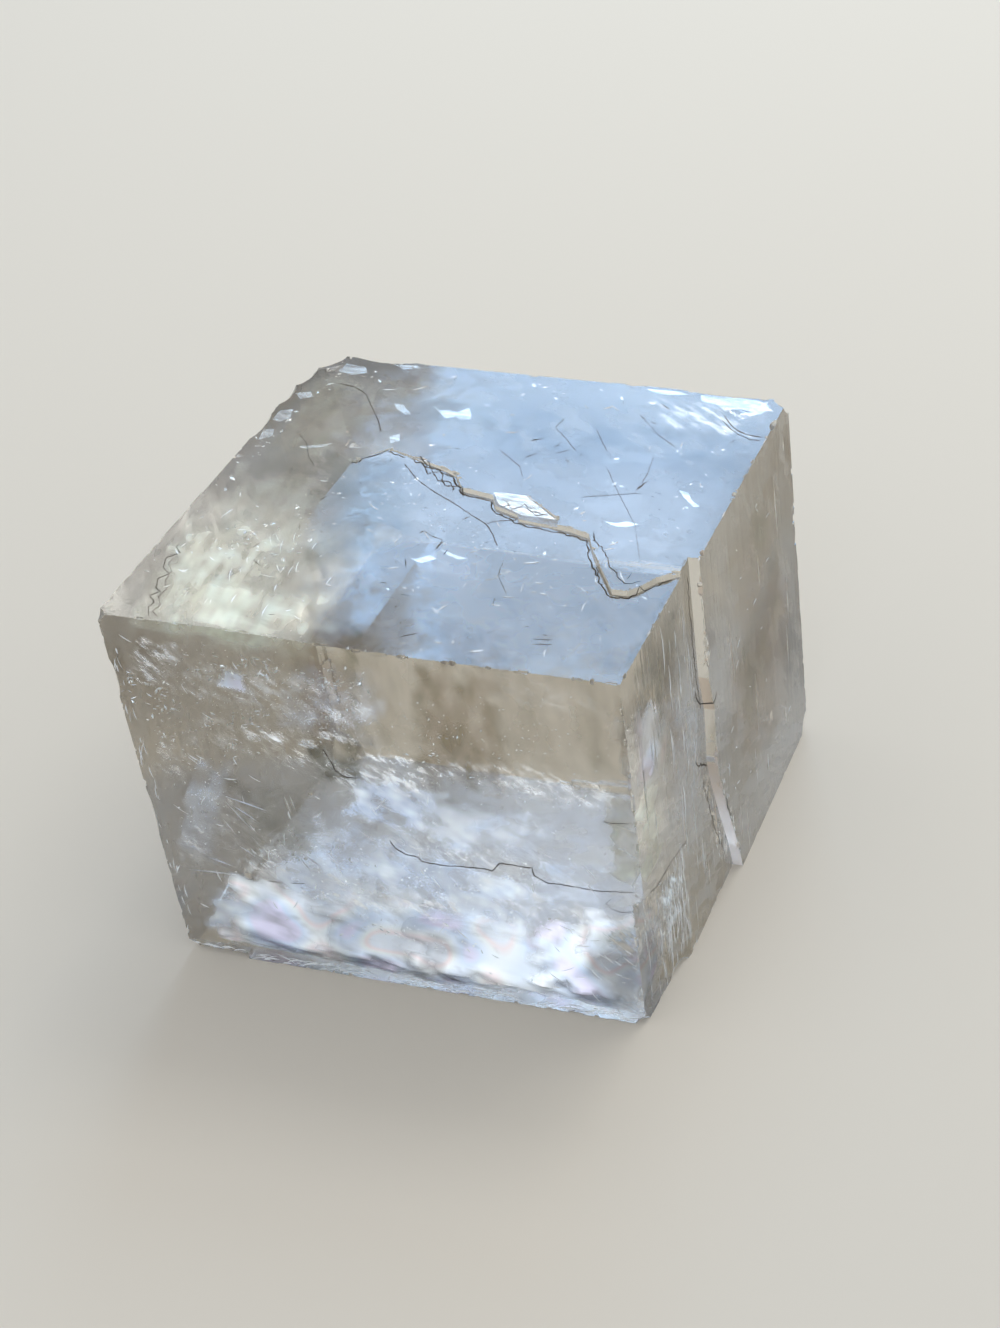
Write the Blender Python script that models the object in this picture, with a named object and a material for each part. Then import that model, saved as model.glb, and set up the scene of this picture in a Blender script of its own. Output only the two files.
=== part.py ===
"""Calcite cleavage block: one clear crystal lying on a cleavage face, with its steps and chips."""

import math
import random

import bmesh
import bpy
from mathutils import Matrix, Vector

# Driving dimensions. The block's edges run along three crystal directions: left, back and down
# from the top front right corner. Distances along them are in millimetres.
MM = 0.001
WIDTH = 60.0
DEPTH = 55.0
SLANT = 46.9
CLEAVAGE_ANGLE = math.radians(101.92)  # obtuse angle of a calcite cleavage face
BEYOND = 12.0  # how far cutters reach past the block

# Right face: two parallel slabs that lean inwards as they go down.
RIGHT_LEAN = 0.036  # millimetres left for each millimetre down
SLAB_STEP = 1.3  # the back slab stands this far proud of the front one
RISER_OUTLINE = (  # (back, down) points of the step between the slabs
    (21.8, -BEYOND),
    (21.6, 15.0),
    (22.5, 20.0),
    (21.9, 27.0),
    (22.5, 30.5),
    (24.5, 37.0),
    (26.6, 43.0),
    (30.0, SLANT + BEYOND),
)

# Top face: the back terrace is higher than the front one on the right, and meets it on the left.
BACK_TERRACE_RISE = 0.75
BACK_TERRACE_SLOPE = 0.0163
FRONT_TERRACE_SLOPE = 0.012
FRONT_TERRACE_RAMP = 0.024
FRONT_TERRACE_LOWEST_AT = 30.0
TERRACE_OUTLINE = (  # (left, back) points of the broken edge between the terraces
    (-BEYOND, 19.3),
    (0.3, 19.0),
    (2.2, 17.5),
    (3.4, 15.6),
    (4.5, 14.6),
    (6.3, 14.6),
    (8.7, 18.0),
    (11.0, 21.3),
    (12.5, 24.0),
    (15.1, 24.8),
    (17.9, 25.2),
    (21.6, 25.6),
    (22.0, 26.3),
    (25.2, 27.5),
    (26.3, 29.3),
    (30.4, 30.1),
    (32.3, 32.7),
    (33.8, 33.4),
    (39.3, 35.3),
    (42.3, 36.2),
    (45.7, 32.6),
    (48.8, 29.4),
    (WIDTH + BEYOND, 28.0),
)
SLIVER_OUTLINE = (  # (left, back) points of a thin flake missing from the terrace edge
    (26.6, 30.1),
    (22.5, 30.1),
    (16.9, 26.2),
    (16.2, 22.0),
    (26.6, 22.0),
)
SLIVER_FLOOR = -0.38  # at the back of the flake, sloping down towards the front
SLIVER_SLOPE = 0.06

# Missing corner at the bottom front right: a re-entrant notch with two side faces and a roof.
NOTCH_OUTLINE = (  # (left, back) points, at the level of the top face
    (-BEYOND, -BEYOND),
    (1.7, -BEYOND),
    (1.45, 0.0),
    (1.15, 7.2),
    (-3.5, 29.5),
    (-BEYOND, 29.5),
)
NOTCH_ROOF = 28.3
NOTCH_ROOF_BACK_SLOPE = 0.42
NOTCH_ROOF_LEFT_SLOPE = 1.1

# Small stepped nicks along the edges, each a cleavage block: (name, left, back and down spans).
NICKS = (
    ("front_foot", (52.6, 64.0), (-2.0, 1.5), (46.1, 50.0)),
    ("left_foot", (59.0, 64.0), (19.0, 26.5), (45.8, 50.0)),
    ("left_foot_rear", (59.4, 64.0), (26.5, 31.0), (46.2, 50.0)),
    ("back_foot", (16.0, 25.5), (54.1, 58.0), (45.7, 50.0)),
    ("back_foot_end", (25.5, 29.0), (54.5, 58.0), (46.1, 50.0)),
    ("back_left_edge", (59.2, 64.0), (54.0, 58.0), (24.0, 33.0)),
    ("back_left_edge_low", (58.8, 64.0), (54.4, 58.0), (33.0, 39.5)),
    ("back_right_edge", (-3.0, -0.6), (54.3, 58.0), (15.0, 19.5)),
)

# Broken hollows: (name, faces that meet there, (left, back, down), depth, width, length).
CHIPS = (
    ("back_left_corner", ("top", "left", "back"), (60.0, 55.0, 0.2), 3.0, 9.0, 9.0),
    ("back_left_shoulder", ("top", "left"), (60.0, 50.6, 0.2), 1.1, 4.4, 7.0),
    ("left_edge_rear", ("top", "left"), (60.0, 45.2, 0.2), 0.6, 3.2, 5.2),
    ("left_edge_middle", ("top", "left"), (60.0, 38.0, 0.2), 0.55, 3.0, 6.4),
    ("back_edge_left", ("top", "back"), (51.5, 55.0, 0.1), 0.6, 3.6, 9.0),
    ("front_left_corner", ("top", "left", "front"), (60.0, 0.0, 0.2), 0.8, 3.6, 3.6),
    ("front_left_edge_high", ("left", "front"), (60.0, 0.0, 8.6), 0.4, 2.0, 5.6),
    ("front_left_edge_low", ("left", "front"), (60.0, 0.0, 27.0), 0.3, 1.8, 6.8),
    ("front_left_foot", ("bottom", "left", "front"), (60.0, 0.0, 46.9), 1.3, 4.6, 4.6),
    ("front_right_foot", ("bottom", "right", "front"), (3.2, 0.0, 46.9), 1.0, 4.0, 4.0),
    ("notch_foot", ("bottom", "right"), (2.6, 9.2, 46.9), 0.9, 2.6, 4.0),
    ("back_right_corner", ("top", "right", "back"), (-1.3, 55.0, -0.7), 1.5, 5.0, 5.0),
    ("back_right_edge", ("top", "back"), (6.5, 55.0, -0.6), 0.5, 3.0, 14.0),
    ("right_edge_nick", ("top", "right"), (-1.3, 49.4, -0.7), 0.35, 1.6, 2.4),
    ("back_right_foot", ("bottom", "right", "back"), (0.4, 55.0, 46.9), 2.0, 7.0, 7.0),
    ("back_left_foot", ("bottom", "left", "back"), (60.0, 55.0, 46.9), 2.6, 8.0, 8.0),
)
BALL_DETAIL = 3  # icosphere subdivisions
BALL_ROUGHNESS = 0.05  # how far a corner of the ball strays, as a share of its radius

# Finish
HONEY_TINT = (0.93, 0.90, 0.80, 1.0)
CALCITE_IOR = 1.63
FACE_ROUGHNESS = 0.04


def clear_scene():
    for obj in list(bpy.data.objects):
        bpy.data.objects.remove(obj, do_unlink=True)


def new_collection(name, hidden):
    collection = bpy.data.collections.new(name)
    collection.hide_render = hidden
    bpy.context.scene.collection.children.link(collection)
    return collection


def crystal_axes():
    """Unit directions left, back and down along the block's edges, with the top face level."""
    cosine = math.cos(CLEAVAGE_ANGLE)
    sine = math.sin(CLEAVAGE_ANGLE)
    left = Vector((-1.0, 0.0, 0.0))
    back = Vector((-cosine, sine, 0.0))
    down_x = -cosine
    down_y = (cosine - back.x * down_x) / back.y
    down = Vector((down_x, down_y, -math.sqrt(1.0 - down_x**2 - down_y**2)))
    return left, back, down


def crystal_frame():
    """Turns (left, back, down) in millimetres into metres, with the foot of the block on Z = 0."""
    left, back, down = crystal_axes()
    frame = Matrix((left * MM, back * MM, down * MM)).transposed().to_4x4()
    middle = frame @ Vector((WIDTH / 2, DEPTH / 2, SLANT / 2))
    foot = frame @ Vector((0.0, 0.0, SLANT))
    return Matrix.Translation((-middle.x, -middle.y, -foot.z)) @ frame


FRAME = crystal_frame()
LEFT_AXIS, BACK_AXIS, DOWN_AXIS = 0, 1, 2


def lean(*shifts):
    """A slant: each (moved axis, by axis, amount) moves one distance in step with another."""
    matrix = Matrix.Identity(4)
    for moved, by, amount in shifts:
        matrix[moved][by] = amount
    return matrix


def finish_mesh(name, bm, collection):
    if bm.calc_volume(signed=True) < 0.0:
        bmesh.ops.reverse_faces(bm, faces=bm.faces)
    mesh = bpy.data.meshes.new(name)
    bm.to_mesh(mesh)
    bm.free()
    obj = bpy.data.objects.new(name, mesh)
    obj.hide_render = collection.hide_render
    obj.display_type = "WIRE" if collection.hide_render else "TEXTURED"
    collection.objects.link(obj)
    return obj


def cleavage_block(name, left, back, down, collection, slant=None):
    """A box with cleavage sides, between three (from, to) pairs of distances."""
    spans = (left, back, down)
    middle = Matrix.Translation([(low + high) / 2 for low, high in spans])
    size = Matrix.Diagonal([high - low for low, high in spans] + [1.0])
    bm = bmesh.new()
    bmesh.ops.create_cube(bm, size=1.0)
    bm.transform(FRAME @ (slant or Matrix.Identity(4)) @ middle @ size)
    return finish_mesh(name, bm, collection)


def cleavage_prism(name, outline, along, start, end, collection, slant=None):
    """An outline in two crystal distances, drawn out along the third from start to end."""
    across = [axis for axis in (LEFT_AXIS, BACK_AXIS, DOWN_AXIS) if axis != along]
    bm = bmesh.new()
    ring = []
    for first, second in outline:
        point = Vector((0.0, 0.0, 0.0))
        point[across[0]] = first
        point[across[1]] = second
        point[along] = start
        ring.append(bm.verts.new(point))
    cap = bm.faces.new(ring)
    sides = bmesh.ops.extrude_face_region(bm, geom=[cap], use_keep_orig=True)
    far_end = [item for item in sides["geom"] if isinstance(item, bmesh.types.BMVert)]
    shift = Vector((0.0, 0.0, 0.0))
    shift[along] = end - start
    bmesh.ops.translate(bm, verts=far_end, vec=shift)
    bmesh.ops.recalc_face_normals(bm, faces=bm.faces)
    bm.transform(FRAME @ (slant or Matrix.Identity(4)))
    return finish_mesh(name, bm, collection)


def face_normals():
    """Outward normal of each cleavage face."""
    left, back, down = crystal_axes()
    top = back.cross(left).normalized()
    front = left.cross(down).normalized()
    right = down.cross(back).normalized()
    return {
        "top": top,
        "bottom": -top,
        "front": front,
        "back": -front,
        "right": right,
        "left": -right,
    }


def chip_ball(name, faces, place, depth, width, length, collection):
    """An uneven ball, drawn out along the edge, that leaves a broken hollow on an edge or a corner."""
    normals = [face_normals()[face] for face in faces]
    outward = sum(normals, Vector()).normalized()
    along = normals[0].cross(normals[1]).normalized()
    radius = (width**2 / 4 + depth**2) / (2 * depth)
    centre = FRAME @ Vector(place) + outward * (radius - depth) * MM
    bm = bmesh.new()
    bmesh.ops.create_icosphere(bm, subdivisions=BALL_DETAIL, radius=radius * MM)
    stray = random.Random(name)
    for vert in bm.verts:
        vert.co *= 1.0 - BALL_ROUGHNESS * stray.random()
    bm.transform(Matrix.Scale(length / width, 4, along))
    bm.transform(Matrix.Translation(centre))
    return finish_mesh(name, bm, collection)


def right_face_cutters(collection):
    slant = lean((LEFT_AXIS, DOWN_AXIS, RIGHT_LEAN))
    depths = (-BEYOND, DEPTH + BEYOND)
    heights = (-BEYOND, SLANT + BEYOND)
    back_slab = cleavage_block(
        "cut_right_back_slab", (-2 * BEYOND, -SLAB_STEP), depths, heights, collection, slant
    )
    outline = ((-BEYOND, -BEYOND),) + RISER_OUTLINE + ((-BEYOND, SLANT + BEYOND),)
    front_slab = cleavage_prism(
        "cut_right_front_slab", outline, LEFT_AXIS, -2 * BEYOND, 0.0, collection, slant
    )
    return [back_slab, front_slab]


def top_face_cutters(collection):
    back_terrace = cleavage_block(
        "cut_back_terrace",
        (-BEYOND, WIDTH + BEYOND),
        (-BEYOND, DEPTH + BEYOND),
        (-BEYOND, -BACK_TERRACE_RISE),
        collection,
        lean((DOWN_AXIS, LEFT_AXIS, BACK_TERRACE_SLOPE)),
    )
    outline = TERRACE_OUTLINE + ((WIDTH + BEYOND, -BEYOND), (-BEYOND, -BEYOND))
    front_terrace = cleavage_prism(
        "cut_front_terrace",
        outline,
        DOWN_AXIS,
        -BEYOND,
        0.0,
        collection,
        lean((DOWN_AXIS, LEFT_AXIS, FRONT_TERRACE_SLOPE)),
    )
    # the front terrace climbs back to the other one on the left
    fall = FRONT_TERRACE_SLOPE + FRONT_TERRACE_RAMP
    ramp = cleavage_block(
        "ramp_front_terrace",
        (-2 * BEYOND, WIDTH + 2 * BEYOND),
        (-2 * BEYOND, DEPTH + 2 * BEYOND),
        (-2 * BEYOND, fall * FRONT_TERRACE_LOWEST_AT),
        collection,
        lean((DOWN_AXIS, LEFT_AXIS, -FRONT_TERRACE_RAMP)),
    )
    common = front_terrace.modifiers.new(ramp.name, "BOOLEAN")
    common.operation = "INTERSECT"
    common.solver = "EXACT"
    common.object = ramp
    sliver = cleavage_prism(
        "cut_terrace_sliver",
        SLIVER_OUTLINE,
        DOWN_AXIS,
        -BEYOND,
        SLIVER_FLOOR + SLIVER_SLOPE * SLIVER_OUTLINE[0][1],
        collection,
        lean((DOWN_AXIS, BACK_AXIS, -SLIVER_SLOPE)),
    )
    return [back_terrace, front_terrace, sliver], [ramp]


def notch_cutter(collection):
    slant = lean(
        (LEFT_AXIS, DOWN_AXIS, RIGHT_LEAN),
        (DOWN_AXIS, BACK_AXIS, NOTCH_ROOF_BACK_SLOPE),
        (DOWN_AXIS, LEFT_AXIS, NOTCH_ROOF_LEFT_SLOPE),
    )
    return cleavage_prism(
        "cut_front_notch",
        NOTCH_OUTLINE,
        DOWN_AXIS,
        NOTCH_ROOF,
        SLANT + 2 * BEYOND,
        collection,
        slant,
    )


def nick_cutters(collection):
    return [
        cleavage_block("nick_" + name, left, back, down, collection)
        for name, left, back, down in NICKS
    ]


def calcite_material():
    material = bpy.data.materials.new("clear_calcite")
    material.use_nodes = True
    shader = material.node_tree.nodes["Principled BSDF"]
    shader.inputs["Base Color"].default_value = HONEY_TINT
    shader.inputs["Roughness"].default_value = FACE_ROUGHNESS
    shader.inputs["Metallic"].default_value = 0.0
    shader.inputs["Transmission Weight"].default_value = 1.0
    shader.inputs["IOR"].default_value = CALCITE_IOR
    return material


def cut(body, cutters):
    for cutter in cutters:
        modifier = body.modifiers.new(cutter.name, "BOOLEAN")
        modifier.operation = "DIFFERENCE"
        modifier.solver = "EXACT"
        modifier.object = cutter


def build_crystal(collection, cutter_collection):
    body = cleavage_block(
        "calcite_crystal",
        (-2 * SLAB_STEP, WIDTH),
        (0.0, DEPTH),
        (-2 * BACK_TERRACE_RISE, SLANT),
        collection,
    )
    body.data.materials.append(calcite_material())
    cutters = right_face_cutters(cutter_collection)
    top_cutters, helpers = top_face_cutters(cutter_collection)
    cutters += top_cutters
    cutters.append(notch_cutter(cutter_collection))
    cutters += nick_cutters(cutter_collection)
    for name, *shape in CHIPS:
        cutters.append(chip_ball("chip_" + name, *shape, cutter_collection))
    cut(body, cutters)
    return body, cutters + helpers


def centre_over_origin(body, cutters, collection):
    """Hangs the crystal and its cutters on an empty that puts the middle of the box over the origin."""
    bpy.context.view_layer.update()
    shape = body.evaluated_get(bpy.context.evaluated_depsgraph_get())
    corners = [Vector(corner) for corner in shape.bound_box]
    middle = sum(corners, Vector()) / len(corners)
    base = bpy.data.objects.new("crystal_base", None)
    collection.objects.link(base)
    base.location = (-middle.x, -middle.y, 0.0)
    for obj in [body] + cutters:
        obj.parent = base


def main():
    clear_scene()
    crystal = new_collection("calcite_cube", hidden=False)
    cutter_collection = new_collection("calcite_cube_cutters", hidden=True)
    body, cutters = build_crystal(crystal, cutter_collection)
    centre_over_origin(body, cutters, crystal)


main()
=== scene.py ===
import math
import random

import bmesh
import bpy
from mathutils import Euler, Matrix, Vector, noise
from mathutils.bvhtree import BVHTree


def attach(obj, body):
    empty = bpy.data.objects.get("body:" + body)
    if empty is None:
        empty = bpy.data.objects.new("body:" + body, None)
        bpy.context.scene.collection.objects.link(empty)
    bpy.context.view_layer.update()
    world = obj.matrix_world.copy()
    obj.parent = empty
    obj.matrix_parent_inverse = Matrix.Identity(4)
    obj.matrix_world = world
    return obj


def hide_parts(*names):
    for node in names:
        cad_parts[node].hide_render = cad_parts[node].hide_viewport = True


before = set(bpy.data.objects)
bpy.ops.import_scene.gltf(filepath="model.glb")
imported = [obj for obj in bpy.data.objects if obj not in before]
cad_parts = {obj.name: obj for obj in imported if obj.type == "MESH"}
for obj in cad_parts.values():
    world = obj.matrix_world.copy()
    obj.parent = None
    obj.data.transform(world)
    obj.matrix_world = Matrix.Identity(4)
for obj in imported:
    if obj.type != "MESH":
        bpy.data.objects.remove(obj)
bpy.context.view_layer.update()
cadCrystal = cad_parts["calcite_crystal"]
print("frame loaded")

mm = 0.001

# the block's edges, in millimetres along the crystal's own directions: left, back and down
block = {
    "width": 60.0,
    "depth": 55.0,
    "slant": 46.9,
    "cleavageAngle": 101.92,  # degrees between two edges on a cleavage face
    "rightLean": 0.036,  # the right face leans in by this much for each millimetre down
}


def crystalAxes():
    cosine = math.cos(math.radians(block["cleavageAngle"]))
    sine = math.sin(math.radians(block["cleavageAngle"]))
    left = Vector((-1.0, 0.0, 0.0))
    back = Vector((-cosine, sine, 0.0))
    downY = (cosine - back.x * -cosine) / back.y
    down = Vector((-cosine, downY, -math.sqrt(1.0 - cosine**2 - downY**2)))
    return left, back, down


def crystalFrame():
    # (left, back, down) in millimetres to metres, read from the solid's left, front and bottom faces
    axes = Matrix([axis * mm for axis in crystalAxes()]).transposed()
    spots = [axes.inverted() @ v.co for v in cadCrystal.data.vertices]
    start = Vector((
        max(spot.x for spot in spots) - block["width"],
        min(spot.y for spot in spots),
        max(spot.z for spot in spots) - block["slant"],
    ))
    return Matrix.Translation(axes @ start) @ axes.to_4x4()


inCrystal = crystalFrame()
turnOnly = inCrystal.to_3x3()  # the same for directions
units = (Vector((1, 0, 0)), Vector((0, 1, 0)), Vector((0, 0, 1)))


def faceNormals():
    left, back, down = crystalAxes()
    top = back.cross(left).normalized()
    front = left.cross(down).normalized()
    right = down.cross(back).normalized()
    return {"top": top, "front": front, "right": right, "bottom": -top, "back": -front, "left": -right}


normals = faceNormals()


def linear(hexColour):
    # an sRGB hex colour as linear light
    def one(text):
        share = int(text, 16) / 255
        return share / 12.92 if share <= 0.04045 else ((share + 0.055) / 1.055) ** 2.4

    return tuple(one(hexColour[i : i + 2]) for i in (1, 3, 5)) + (1.0,)


def addNode(tree, kind, settings=None, values=None, links=None):
    # one shader node with its own settings, plain input values, and links into its inputs: from a node's
    # first output, or from (node, output)
    node = tree.nodes.new("ShaderNode" + kind)
    for name, value in (settings or {}).items():
        setattr(node, name, value)
    for name, value in (values or {}).items():
        node.inputs[name].default_value = value
    for name, source in (links or {}).items():
        source, output = source if isinstance(source, tuple) else (source, 0)
        tree.links.new(source.outputs[output], node.inputs[name])
    return node


def newMaterial(name):
    material = bpy.data.materials.new(name)
    material.use_nodes = True
    material.node_tree.nodes.clear()
    return material, material.node_tree


def putInScene(name, data):
    thing = bpy.data.objects.new(name, data)
    bpy.context.scene.collection.objects.link(thing)
    return thing


def toMesh(name, bm):
    mesh = bpy.data.meshes.new(name)
    bm.to_mesh(mesh)
    bm.free()
    return mesh


def newPiece(name, bm, material):
    # a finished piece from mesh work in metres, fixed to the one body
    mesh = toMesh(name, bm)
    piece = putInScene(name, mesh)
    mesh.materials.append(material)
    keepCrystalPlaces(mesh)
    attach(piece, "root")


def keepCrystalPlaces(mesh):
    # each corner's (left, back, down) in millimetres, for patterns that follow the crystal
    toCrystal = inCrystal.inverted()
    places = mesh.attributes.new("crystal", "FLOAT_VECTOR", "POINT")
    for vert, place in zip(mesh.vertices, places.data):
        place.vector = toCrystal @ vert.co


def shard(bm, centre, halfAxes):
    # a pointed sliver with six tips, around a centre in metres
    tips = [bm.verts.new(centre + axis * sign) for axis in halfAxes for sign in (1.0, -1.0)]
    for i in (0, 1):
        for j in (2, 3):
            for k in (4, 5):
                ring = (i, j, k) if (i + j + k) % 2 == 0 else (i, k, j)
                bm.faces.new([tips[n] for n in ring])


def jittered(axis, chance, degrees):
    # the same direction, turned a little at random
    turn = [math.radians(chance.uniform(-degrees, degrees)) for _ in range(3)]
    return Euler(turn).to_matrix() @ axis


# small breaks all along the edges, in millimetres
relief = {
    "seed": 41,
    "nickSpacing": 1.0,
    "nickLengths": (0.4, 2.2),
    "nickDepths": (0.04, 0.3),
    "depthShares": (0.5, 0.7, 1.0, 1.0, 1.6),  # of that depth, one picked for each nick
    "blockShare": 0.6,  # nicks that are cleavage blocks; the rest are uneven pits
    "blockHalves": (0.5, 0.9),
    "blockTurn": 6.0,  # degrees
    "pitHalves": (0.35, 0.8),
    "pitStray": 0.3,
    "sharpEdge": 32.0,  # degrees
    "leastEdge": 1.2,
}


def nickShape(bm, spot, outward, along, chance):
    depth = chance.uniform(*relief["nickDepths"]) * chance.choice(relief["depthShares"])
    length = chance.uniform(*relief["nickLengths"])
    if chance.random() < relief["blockShare"]:
        axes = [jittered(turnOnly @ unit, chance, relief["blockTurn"]) for unit in units]
        sizes = [
            length / 2 if abs(axis.normalized().dot(along)) > 0.9 else chance.uniform(*relief["blockHalves"])
            for axis in axes
        ]
        corners = [
            sum((axis * size * sign for axis, size, sign in zip(axes, sizes, signs)), Vector())
            for signs in ((a, b, c) for a in (-1, 1) for b in (-1, 1) for c in (-1, 1))
        ]
        rings = ((0, 1, 3, 2), (4, 6, 7, 5), (0, 4, 5, 1), (2, 3, 7, 6), (0, 2, 6, 4), (1, 5, 7, 3))
    else:
        ball = bmesh.new()
        bmesh.ops.create_icosphere(ball, subdivisions=1, radius=1.0)
        across = along.cross(outward)
        width = chance.uniform(*relief["pitHalves"])
        corners = []
        for vert in ball.verts:
            stray = 1.0 - relief["pitStray"] * chance.random()
            reach = along * vert.co.x * length / 2 + outward * vert.co.y * width + across * vert.co.z * width
            corners.append(reach * stray * mm)
        rings = [tuple(v.index for v in face.verts) for face in ball.faces]
        ball.free()
    reach = max(-corner.dot(outward) for corner in corners)
    centre = spot + outward * (reach - depth * mm)
    verts = [bm.verts.new(centre + corner) for corner in corners]
    for ring in rings:
        bm.faces.new([verts[i] for i in ring])


def nickEdges(bm, solid):
    chance = random.Random(relief["seed"])
    for edge in solid.edges:
        if len(edge.link_faces) != 2 or edge.calc_length() < relief["leastEdge"] * mm:
            continue
        if edge.calc_face_angle_signed() < math.radians(relief["sharpEdge"]):
            continue
        ends = [vert.co for vert in edge.verts]
        along = (ends[1] - ends[0]).normalized()
        outward = sum((face.normal for face in edge.link_faces), Vector()).normalized()
        count = round(edge.calc_length() / mm / relief["nickSpacing"])
        for _ in range(count):
            spot = ends[0].lerp(ends[1], chance.random())
            nickShape(bm, spot, outward, along, chance)


# scored lines down the right face, along the crystal's down direction: how far in they are at the top,
# (back from, to), (down from, to), count
scores = {
    "seed": 12,
    "places": (
        (0, (3, 21), (2, 33), 34),  # front slab
        (0, (14.5, 24), (33, 45), 10),  # its foot
        (1.3, (1.5, 12), (34, 45.5), 16),  # side of the missing corner
        (-1.3, (24, 53), (2, 44), 14),  # back slab
    ),
    "widths": (0.1, 0.34),
    "depths": (0.03, 0.09),
    "lengths": (2.5, 13.0),
    "shares": (0.4, 1.0),  # of that length
    "stray": 0.02,
}


def scoreRightFace(bm):
    chance = random.Random(scores["seed"])
    for inwards, backSpan, downSpan, count in scores["places"]:
        for _ in range(count):
            length = chance.uniform(*scores["lengths"]) * chance.uniform(*scores["shares"])
            down = chance.uniform(*downSpan)
            back = chance.uniform(*backSpan)
            inset = inwards + block["rightLean"] * down
            centre = inCrystal @ Vector((inset, back, down))
            sway = chance.uniform(-scores["stray"], scores["stray"])
            along = turnOnly @ Vector((block["rightLean"], sway, 1.0)) * length / 2
            across = turnOnly @ Vector((0.0, 1.0, 0.0)) * chance.uniform(*scores["widths"]) / 2
            deep = normals["right"] * chance.uniform(*scores["depths"]) * mm
            shard(bm, centre, (along, across, deep))


# ragged steps split off the rims of the hidden faces: face, how deep, then their outline in millimetres
hiddenSteps = (
    ("back", 0.12, (20, -3), (22, 1.4), (27, 2.1), (33, 1.2), (36, 2.6), (44, 1.9), (47, -3)),
    ("back", 0.14, (-3, 43), (3, 44), (7, 45.2), (12, 44.6), (16, 45.8), (24, 45.2), (27, 49), (-3, 49)),
    ("left", 0.1, (22, -3), (24, 1.1), (30, 1.9), (35, 1.2), (41, 2.2), (43, -3)),
    ("left", 0.12, (8, 49), (10, 45.6), (15, 44.8), (19, 45.9), (28, 45.1), (33, 46.1), (35, 49)),
)
stepCutterHeight = 3.0  # millimetres outside the face


def stepHiddenFaces(bm):
    far = {"back": 1, "left": 0}
    ends = (block["width"], block["depth"], block["slant"])
    for face, deep, *outline in hiddenSteps:
        axis = far[face]
        across = [n for n in (0, 1, 2) if n != axis]
        rings = []
        for level in (-deep, stepCutterHeight):
            ring = []
            for first, second in outline:
                spot = Vector((0.0, 0.0, 0.0))
                spot[across[0]], spot[across[1]], spot[axis] = first, second, ends[axis] + level
                ring.append(bm.verts.new(inCrystal @ spot))
            rings.append(ring)
        count = len(outline)
        bm.faces.new(rings[0])
        bm.faces.new(reversed(rings[1]))
        for n in range(count):
            bm.faces.new((rings[0][(n + 1) % count], rings[0][n], rings[1][n], rings[1][(n + 1) % count]))


def carve(piece, cutterMesh):
    # takes the cutters out of the piece for good
    cutter = putInScene("cutter", cutterMesh)
    taken = piece.modifiers.new("taken", "BOOLEAN")
    taken.operation = "DIFFERENCE"
    taken.solver = "EXACT"
    taken.use_self = True
    taken.object = cutter
    graph = bpy.context.evaluated_depsgraph_get()
    carved = bpy.data.meshes.new_from_object(piece.evaluated_get(graph))
    piece.modifiers.clear()
    old = piece.data
    piece.data = carved
    bpy.data.meshes.remove(old)
    bpy.data.objects.remove(cutter, do_unlink=True)


def skinPiece():
    solid = bmesh.new()
    solid.from_mesh(cadCrystal.data)
    bmesh.ops.remove_doubles(solid, verts=solid.verts, dist=0.0005 * mm)
    cutters = bmesh.new()
    nickEdges(cutters, solid)
    scoreRightFace(cutters)
    stepHiddenFaces(cutters)
    bmesh.ops.recalc_face_normals(cutters, faces=cutters.faces)
    piece = putInScene("calciteSkin", toMesh("solid", solid))
    carve(piece, toMesh("cutters", cutters))
    piece.data.name = "calciteSkin"
    return piece


# how each kind of face is finished: pattern sizes along left, back and down and its height, in millimetres,
# then the roughness where it's cleanest and how much it goes up where it's rubbed
finishes = {
    "clear": {"pattern": (9.0, 9.0, 9.0), "height": 0.05, "roughness": 0.02, "rubbed": 0.13},
    "scored": {"pattern": (0.8, 0.8, 30.0), "height": 0.035, "roughness": 0.03, "rubbed": 0.12},
    "left": {"pattern": (6.0, 2.2, 9.0), "height": 0.05, "roughness": 0.1, "rubbed": 0.2},
    "back": {"pattern": (4.0, 6.0, 7.0), "height": 0.06, "roughness": 0.16, "rubbed": 0.2},
    "bottom": {"pattern": (5.0, 4.0, 6.0), "height": 0.08, "roughness": 0.18, "rubbed": 0.25},
    "broken": {"pattern": (1.2, 1.2, 1.2), "height": 0.12, "roughness": 0.25, "rubbed": 0.2},
    "film": {"pattern": (1.5, 1.5, 5.0), "height": 0.06, "roughness": 0.45, "rubbed": 0.1},
}


# which finish a face has, by the cosine of its angle from a cleavage direction and where it is
faceRules = {
    "cleaved": 0.992,
    "striated": 0.96,  # the side of the missing corner: further back and down than this
    "striatedFrom": (6.0, 30.0),
    "riserIn": (-1.6, 0.3),  # the broken riser on the right face, between these
    "riserBack": (19.0, 31.0),
}


def faceKind(face, place):
    facing = max(normals, key=lambda name: face.normal.dot(normals[name]))
    square = face.normal.dot(normals[facing])
    if square > faceRules["cleaved"]:
        return {"top": "clear", "front": "clear", "right": "scored"}.get(facing, facing)
    back, down = faceRules["striatedFrom"]
    if facing == "right" and square > faceRules["striated"] and place.y > back and place.z > down:
        return "scored"
    inset = place.x - block["rightLean"] * place.z
    (shallow, deep), (near, far) = faceRules["riserIn"], faceRules["riserBack"]
    return "film" if shallow < inset < deep and near < place.y < far else "broken"


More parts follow.
